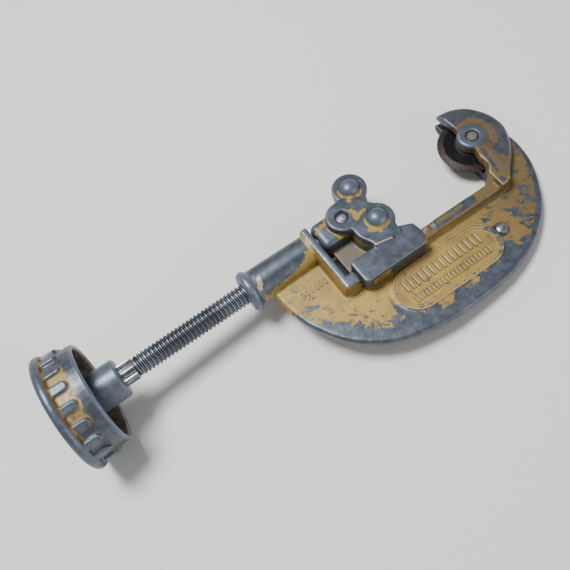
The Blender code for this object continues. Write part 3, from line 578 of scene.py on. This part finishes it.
def knob_touches(paint, colour):
    """Cream over the thin gold between the middle grips, brown along the bead, painted glints on the hub and
    a dull inside.
    """
    x, y, z = paint.axes()
    out = paint.off_axis()
    thin = both(paint, paint.step(x, -59.6, -58.6), paint.step(x, -51.6, -55.5), paint.step(out, 16.3, 15.9),
                paint.step(y, 4.0, -1.0), paint.step(y, -10.5, -6.0), paint.step(z, 2.0, 5.0))
    streak = paint.step(paint.noise(0.8, 5.0, 0.65, shift=34.0), 0.30, 0.62)
    colour = paint.cover(colour, both(paint, thin, streak), 0.65, CREAM)
    brown = both(paint, paint.step(x, -59.7, -59.0), paint.step(x, -57.6, -58.4),
                 paint.step(out, 17.6, 17.1), paint.step(y, -15.5, -12.5),
                 paint.step(paint.noise(0.5, 4.0, 0.6, shift=33.0), 0.25, 0.50))
    colour = paint.cover(colour, brown, 0.65, BROWN)
    haze = both(paint, paint.step(x, -59.0, -57.5), paint.step(x, -50.5, -54.5), paint.step(out, 16.5, 16.0),
                paint.step(paint.noise(0.18, 3.0, 0.6, shift=36.0), 0.42, 0.60))
    colour = paint.cover(colour, haze, 0.35, DULL_GOLD)
    # Painted glints: pale specks on the hub.
    painted_glint = both(paint, paint.step(out, 6.4, 6.2), paint.step(x, -60.2, -59.8),
                 paint.step(paint.noise(2.4, 3.0, 0.6, shift=37.0), 0.58, 0.66))
    colour = paint.cover(colour, painted_glint, 0.45, RUBBED_AND_HIGHLIT_ZINC)
    inside = both(paint, paint.step(out, 14.5, 14.2), paint.step(out, 6.2, 6.6), paint.step(x, -60.2, -59.8))
    mottle = paint.mix(paint.step(paint.noise(0.4, 5.0, 0.65, shift=44.0), 0.4, 0.7), CUP, BROWN_ZINC)
    return paint.mix(paint.maths("MULTIPLY", inside, 0.85), colour, mottle)


def steel_paint(name, dark, light, worn=0.5, rough=0.32):
    """Old machined steel: fine scratches, darker stains."""
    paint = Paint(name)
    stain = paint.step(paint.noise(0.5, 5.0, 0.65), 0.62 - 0.3 * worn, 0.72)
    fine = paint.noise(3.2, 4.0, 0.6, stretch=(3.3, 1.0, 1.0), shift=4.0)
    colour = paint.mix(stain, dark, light)
    colour = paint.cover(colour, paint.step(fine, 0.5, 0.8), 0.4, BRIGHT_STEEL)
    roughness = paint.total((fine, 0.25), (rough, 1.0))
    return paint.finish(colour, roughness, 0.9, paint.bump(fine, 0.02, 0.6))


def keeper_paint():
    """Grey plate, black on its upper side, where the slide hides it: painted shade."""
    paint = Paint("keeper_plate")
    _, _, z = paint.axes()
    grain = paint.noise(1.2, 5.0, 0.6, shift=19.0)
    colour = paint.mix(paint.step(grain, 0.35, 0.7), ZINC, PALE_ZINC)
    # Painted shade: the upper side is turned black, and made rougher and less metallic.
    painted_shade_top = paint.step(z, -4.3, -4.0)
    colour = paint.cover(colour, painted_shade_top, 0.92, KEEPER_SHADE)
    return paint.finish(colour, paint.blend(painted_shade_top, 0.45, 0.6), paint.blend(painted_shade_top, 0.7, 0.1),
                        paint.bump(grain, 0.04, 0.6))


def thread_paint():
    """Pale blue-grey crests and duller roots as painted highlights (the crests also rubbed), and dark flanks
    as painted shade, by the distance from the screw's axis.
    """
    paint = Paint("thread_steel")
    x, _, _ = paint.axes()
    out = paint.off_axis()
    patch = paint.noise(0.22, 4.0, 0.6, shift=6.0)
    root_radius, crest_radius = THREAD_RADII
    # Painted highlights on the roots and crests, the crests also rubbed; the flanks between stay dark as
    # painted shade.
    root = paint.maths("MULTIPLY", paint.step(out, root_radius + 0.10, root_radius + 0.02), 0.65)
    crest = either(paint, paint.step(out, crest_radius - 0.12, crest_radius - 0.03), root)
    crest = paint.total((crest, 1.0), (patch, 0.4), (0.2, -1.0))
    colour = paint.mix(paint.maths("MULTIPLY", crest, 1.0, clamp=True), THREAD_FLANK_SHADE, THREAD_HIGHLIGHT)
    colour = paint.cover(colour, paint.step(patch, 0.58, 0.75), 0.8, DARK_STEEL)
    brown = paint.step(paint.noise(0.15, 3.0, shift=17.0), 0.55, 0.7)
    colour = paint.cover(colour, brown, 0.4, DIRT_AND_SHADE)
    handled = both(paint, paint.step(x, -37.0, -27.0), paint.step(x, -6.0, -15.0))
    colour = paint.cover(colour, handled, 0.45, DARK_STEEL)
    return paint.finish(colour, paint.blend(crest, 0.55, 0.34), 0.85)


def wheel_paint():
    """A near-black flank with faint turning rings, dark steel made darker as painted shade from the slot it
    turns in, and a brown rusty bevel.
    """
    paint = Paint("wheel_steel_worn")
    out = paint.reach(*WHEEL)
    ring = paint.maths("SINE", paint.maths("MULTIPLY", out, 26.0))
    grain = paint.noise(1.6, 5.0, 0.65)
    rust = paint.mix(paint.step(grain, 0.40, 0.66), BEVEL_DARK, BEVEL_BROWN)
    rust = paint.mix(paint.step(paint.noise(0.8, 3.0, shift=8.0), 0.56, 0.70), rust, BEVEL_RUST)
    # The flank's near-black: the steel's dark colour, and partly painted shade.
    flank = paint.mix(paint.step(grain, 0.45, 0.8), FLANK_DARK, FLANK_LIGHT)
    bevel = paint.step(out, WHEEL_RADIUS - 1.95, WHEEL_RADIUS - 1.6)
    colour = paint.mix(bevel, flank, rust)
    hub = paint.step(out, 4.7, 4.3)
    height = paint.total((ring, 0.15), (grain, 1.0))
    rough = either(paint, paint.blend(bevel, 0.36, 0.55), paint.maths("MULTIPLY", hub, 0.75))
    return paint.finish(colour, rough, paint.blend(hub, 0.55, 0.0), paint.bump(height, 0.04, 0.6))


# ---------------------------------------------------------------- geometry

def link(name, mesh, body, look, replaced=()):
    """Put a finished mesh, given in the row frame, on its body."""
    made = bpy.data.objects.new(name, mesh)
    bpy.context.scene.collection.objects.link(made)
    mesh.materials.clear()
    mesh.materials.append(look)
    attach(made, body)
    if replaced:
        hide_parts(*replaced)
    return made


def soft_copy(node, voxel, rounds):
    """The node's mesh, remeshed finely and smoothed, so that its edges are a casting's."""
    copy = bpy.data.objects.new("soft_copy", frame["nodes"][node].data.copy())
    bpy.context.scene.collection.objects.link(copy)
    remesh = copy.modifiers.new("remesh", "REMESH")
    remesh.mode = "VOXEL"
    remesh.voxel_size = voxel * MM
    remesh.use_smooth_shade = True
    smooth = copy.modifiers.new("smooth", "SMOOTH")
    smooth.factor = 0.5
    smooth.iterations = rounds
    bpy.context.view_layer.update()
    mesh = bpy.data.meshes.new_from_object(copy.evaluated_get(bpy.context.evaluated_depsgraph_get()))
    bpy.data.objects.remove(copy)
    return mesh


def relax(points, pairs, counts, rounds):
    """Move every point halfway to the middle of its neighbours, again and again."""
    first, second = pairs
    for _ in range(rounds):
        middle = np.empty_like(points)
        for axis in range(3):
            middle[:, axis] = np.bincount(first, points[second, axis], len(points))
            middle[:, axis] += np.bincount(second, points[first, axis], len(points))
        points = 0.5 * points + 0.5 * middle / counts[:, None]
    return points


def write_mark(mesh, name, values):
    """Keep one number for each of the mesh's points, for its paint to read."""
    mark = mesh.attributes.new(name, "FLOAT", "POINT")
    mark.data.foreach_set("value", values.astype(np.float32))


def shape_marks(mesh, voxel):
    """Write on the mesh how far each point stands out (edge) or in (hollow), and return its points."""
    count = len(mesh.vertices)
    points = np.empty(count * 3)
    mesh.vertices.foreach_get("co", points)
    points = points.reshape(-1, 3) / MM
    normals = np.empty(count * 3)
    mesh.vertices.foreach_get("normal", normals)
    normals = normals.reshape(-1, 3)
    ends = np.empty(len(mesh.edges) * 2, np.int64)
    mesh.edges.foreach_get("vertices", ends)
    pairs = ends[::2], ends[1::2]
    counts = np.bincount(ends, minlength=count).clip(1)
    rounds = int((MARK_REACH / voxel) ** 2 * 4)
    proud = ((points - relax(points, pairs, counts, rounds)) * normals).sum(1)
    write_mark(mesh, "edge", (proud / MARK_HEIGHT).clip(0.0, 1.5))
    write_mark(mesh, "hollow", (-proud / MARK_HEIGHT).clip(0.0, 1.5))
    return points


def belly_marks(mesh, points):
    """How far, in the plane of the web, each point is from the web's outer rim."""
    turn = np.array(TO_TOOL)
    local = points @ turn[:3, :3].T + turn[:3, 3] / MM
    middle = np.array(BELLY_MIDDLE)
    web = local[(local[:, 2] < -0.8) & (local[:, 2] > -2.4)][:, :2] - middle
    turn_of = np.degrees(np.arctan2(web[:, 1], web[:, 0])).round().astype(int) % 360
    rim = []
    for step in range(*BELLY_TURN):
        sector = web[turn_of == step % 360]
        if len(sector):
            rim.append(sector[np.hypot(*sector.T).argmax()] + middle)
    tree = KDTree(4 * len(rim))
    for number, (here, there) in enumerate(zip(rim, rim[1:])):
        for part in range(4):
            x, y = here + (there - here) * part / 4
            tree.insert((x, y, 0.0), 4 * number + part)
    tree.balance()
    write_mark(mesh, "belly", np.array([tree.find((x, y, 0.0))[2] for x, y, _ in local]))


def casting(node, name, body, look, skin, belly=False):
    """Replace a CAD casting with its soft copy, with the marks that its paint wears by."""
    voxel, rounds = skin
    mesh = soft_copy(node, voxel, rounds)
    points = shape_marks(mesh, voxel)
    if belly:
        belly_marks(mesh, points)
    return link(name, mesh, body, look, (node,))


def around_screw(x, radius, angle):
    """A point round the screw's axis."""
    return x, radius * math.cos(angle), radius * math.sin(angle)


def ring_along_x(x, radius, count):
    """Points on a circle round the screw's axis."""
    return [around_screw(x, radius, 2 * math.pi * step / count) for step in range(count)]


def thread_mesh(steps=36):
    """The feed screw's thread: a helix of root, flank and worn crest that fades out at both ends."""
    root, crest = THREAD_RADII
    start, end = THREAD
    total = int((end - start) / PITCH * steps)
    last = len(THREAD_SECTION) - 1
    shape = bmesh.new()
    rows = []
    for number in range(total + steps + 1):
        angle = 2 * math.pi * number / steps
        fade = min(1.0, number / (steps * 1.5), max(0.0, (total - number) / (steps * 1.5)))
        row = []
        for along, height in THREAD_SECTION:
            radius = root + (crest - root) * height * fade
            x = min(max(start + (number / steps + along - 0.5) * PITCH, start), end)
            row.append(shape.verts.new(TOOL @ (Vector(around_screw(x, radius, angle)) * MM)))
        rows.append(row)
    for number in range(total + steps):
        here, there = rows[number], rows[number + 1]
        for level in range(last):
            shape.faces.new((here[level], here[level + 1], there[level + 1], there[level]))
        if number + steps + 1 < len(rows):
            shape.faces.new((here[last], rows[number + steps][0], rows[number + steps + 1][0], there[last]))
    bmesh.ops.remove_doubles(shape, verts=shape.verts, dist=0.000002)
    bmesh.ops.holes_fill(shape, edges=shape.edges)
    bmesh.ops.recalc_face_normals(shape, faces=shape.faces)
    mesh = bpy.data.meshes.new("thread")
    shape.to_mesh(mesh)
    shape.free()
    mesh.shade_smooth()
    return mesh


def spline_rings():
    """Rings of fine teeth, a little smaller at both ends."""
    start, end, radius, teeth = SPLINE
    rings = []
    sections = ((start, 0.3, 0.96), (start + 0.3, 0.3, 1.0), (end - 0.5, 0.3, 1.0), (end, 0.1, 0.93))
    for x, depth, scale in sections:
        ring = []
        for tooth in range(teeth):
            for part, low in ((0.0, 0.0), (0.22, 0.0), (0.42, 1.0), (0.80, 1.0)):
                angle = 2 * math.pi * (tooth + part) / teeth
                ring.append(around_screw(x, radius * scale - depth * low, angle))
        rings.append(ring)
    return rings


def build_screw():
    """The thread, the spline and the plain tip, which stand for the feed screw's node."""
    link("thread", thread_mesh(), "screw", thread_paint(), ("feed_screw",))
    link("spline", merged("spline", [(spline_rings(), False)]), "screw",
         steel_paint("spline_steel", STEEL, BRIGHT_STEEL, 0.9, 0.16))
    tip = [ring_along_x(x, radius, 32) for x, radius in TIP]
    link("screw_tip", merged("screw_tip", [(tip, False)]), "screw",
         steel_paint("tip_steel", DARK_STEEL, STEEL))


def raised_bar(x, y, width, height, top):
    """A small raised bar with drafted sides, standing on the web."""
    corners = ((-1, -1), (1, -1), (1, 1), (-1, 1))
    levels = ((-0.14, -0.25), (-0.14, 0.0), (0.06, top - 0.1), (0.18, top))
    return [[(x + a * (width / 2 - inset), y + b * (height / 2 - inset), up) for a, b in corners]
            for inset, up in levels]


def merged(name, shapes):
    """One mesh from several (rings, looped): each a skin over its rings, closed on itself or with caps."""
    shape = bmesh.new()
    for rings, looped in shapes:
        rows = [[shape.verts.new(TOOL @ (Vector(point) * MM)) for point in ring] for ring in rings]
        size = len(rows[0])
        for here, there in zip(rows, rows[1:] + rows[:1] if looped else rows[1:]):
            for step in range(size):
                follow = (step + 1) % size
                shape.faces.new((here[step], here[follow], there[follow], there[step]))
        if not looped:
            shape.faces.new(list(reversed(rows[0])))
            shape.faces.new(rows[-1])
    bmesh.ops.recalc_face_normals(shape, faces=shape.faces)
    mesh = bpy.data.meshes.new(name)
    shape.to_mesh(mesh)
    shape.free()
    mesh.shade_smooth()
    mesh.set_sharp_from_angle(angle=math.radians(40.0))
    return mesh


def ridge_rings(radius, width, height):
    """A closed low ridge that follows a stadium round the cartouche."""
    left, right, middle = CARTOUCHE
    rings = []
    for centre, start in ((right, -90.0), (left, 90.0)):
        for step in range(25):
            angle = math.radians(start + 180.0 * step / 24)
            out = Vector((math.cos(angle), math.sin(angle)))
            foot = Vector((centre, middle))
            section = ((-width / 2, -0.25), (-width / 2, 0.0), (-width / 5, height), (width / 5, height),
                       (width / 2, 0.0), (width / 2, -0.25))
            rings.append([(*(foot + out * (radius + across)), up) for across, up in section])
    return rings


def bar_row(first, middle, row):
    """A row of raised bars from its first bar's place along X."""
    count, spacing, across, width, length, top = row
    return [raised_bar(first + spacing * number, middle + across, width, length, top)
            for number in range(count)]


def build_cartouche(look):
    """Two fine ridges round plain raised bars in two rows, and a few bars by the barrel: no lettering."""
    left, _, middle = CARTOUCHE
    bars = bar_row(left + BARS_INSET, middle, UPPER_BARS)
    bars += bar_row(left + BARS_INSET, middle, LOWER_BARS)
    bars += bar_row(BARREL_BARS_START, 0.0, BARREL_BARS)
    shapes = [(rings, False) for rings in bars]
    shapes += [(ridge_rings(*ridge), True) for ridge in (OUTER_RIDGE, INNER_RIDGE)]
    mesh = merged("raised_lines", shapes)
    high = np.array([(TO_TOOL @ corner.co).z / MM > 0.15 for corner in mesh.vertices], np.float32)
    # Tops are marked as edges, so the paint gives them pale rims, partly a painted highlight; feet are
    # marked as hollows, so the paint darkens round the bars and ridges: painted shade.
    write_mark(mesh, "edge", high * 0.75)
    write_mark(mesh, "hollow", (1.0 - high) * 1.1)
    write_mark(mesh, "belly", np.full(len(high), 30.0))
    link("raised_lines", mesh, "frame", look)


def paint_node(node, look):
    """Give a CAD node that stays as it is its material."""
    mesh = frame["nodes"][node].data
    mesh.materials.clear()
    mesh.materials.append(look)


# ---------------------------------------------------------------- stage

def build_stage():
    """A plain pale floor, wide enough that low views see no edge."""
    shape = bmesh.new()
    bmesh.ops.create_grid(shape, x_segments=2, y_segments=2, size=FLOOR_SIZE)
    mesh = bpy.data.meshes.new("floor")
    shape.to_mesh(mesh)
    shape.free()
    floor = bpy.data.objects.new("floor", mesh)
    bpy.context.scene.collection.objects.link(floor)
    look = bpy.data.materials.new("pale_floor")
    look.use_nodes = True
    shader = look.node_tree.nodes["Principled BSDF"]
    shader.inputs["Base Color"].default_value = (*FLOOR, 1.0)
    shader.inputs["Roughness"].default_value = 0.9
    mesh.materials.append(look)


def lamp(name, place, target, size, power):
    """A round soft lamp that points at the target."""
    data = bpy.data.lights.new(name, "AREA")
    data.shape = "DISK"
    data.size = size
    data.energy = power
    made = bpy.data.objects.new(name, data)
    bpy.context.scene.collection.objects.link(made)
    made.location = place
    made.rotation_mode = "QUATERNION"
    made.rotation_quaternion = (target - place).to_track_quat("-Z", "Y")


def build_camera_and_light():
    """The camera over the tool's open side, two soft lamps and a pale sky."""
    axes = Matrix((CAMERA_RIGHT, CAMERA_UP, CAMERA_BACK)).transposed().to_4x4()
    axes.translation = Vector(CAMERA_PLACE) * MM
    data = bpy.data.cameras.new("camera")
    data.lens = CAMERA_LENS
    data.sensor_width = 36.0
    data.shift_x, data.shift_y = CAMERA_SHIFT
    data.clip_start = 0.01
    camera = bpy.data.objects.new("camera", data)
    bpy.context.scene.collection.objects.link(camera)
    camera.matrix_world = TOOL @ axes
    bpy.context.scene.camera = camera
    target = Vector(LAMP_TARGET)
    for name, (away, size, power) in LAMPS.items():
        lamp(name, target + camera.matrix_world.to_3x3() @ Vector(away), target, size, power)
    world = bpy.data.worlds.new("studio")
    bpy.context.scene.world = world
    world.use_nodes = True
    background = world.node_tree.nodes["Background"]
    background.inputs["Color"].default_value = (*SKY, 1.0)
    background.inputs["Strength"].default_value = SKY_STRENGTH


build_camera_and_light()
build_stage()
casting_gold = worn_casting("frame_paint", frame_wear, frame_age, frame_chips, frame_shine, frame_touches)
casting("frame", "frame_casting", "frame", casting_gold, FRAME_SKIN, belly=True)
casting("slide", "slide_casting", "carriage",
        worn_casting("slide_paint", slide_wear, slide_low_olive, None, slide_shine, slide_touches), SLIDE_SKIN)
casting("knob", "knob_casting", "screw",
        worn_casting("knob_paint", knob_wear, knob_age, None, knob_shine, knob_touches, 0.35), KNOB_SKIN)
build_screw()
build_cartouche(casting_gold)
paint_node("cutter_wheel", wheel_paint())
for dark in ("roller_pin_upper", "roller_pin_lower", "keeper_screw_front", "keeper_screw_back",
             "reamer_blade", "reamer_washer"):
    paint_node(dark, steel_paint(f"{dark}_steel", DARK_STEEL, STEEL))
paint_node("wheel_screw", steel_paint("wheel_screw_steel", PIN_DARK, PIN_LIGHT, 0.6, 0.45))
paint_node("screw_retaining_pin", steel_paint("retaining_pin_steel", STEEL, BRIGHT_STEEL, 0.9, 0.25))
for roller in ("roller_upper", "roller_lower"):
    paint_node(roller, steel_paint(f"{roller}_steel", STEEL, BRIGHT_STEEL, 0.7, 0.3))
paint_node("reamer_rivet", steel_paint("rivet_steel", STEEL, BRIGHT_STEEL, 0.9, 0.22))
paint_node("slide_keeper", keeper_paint())
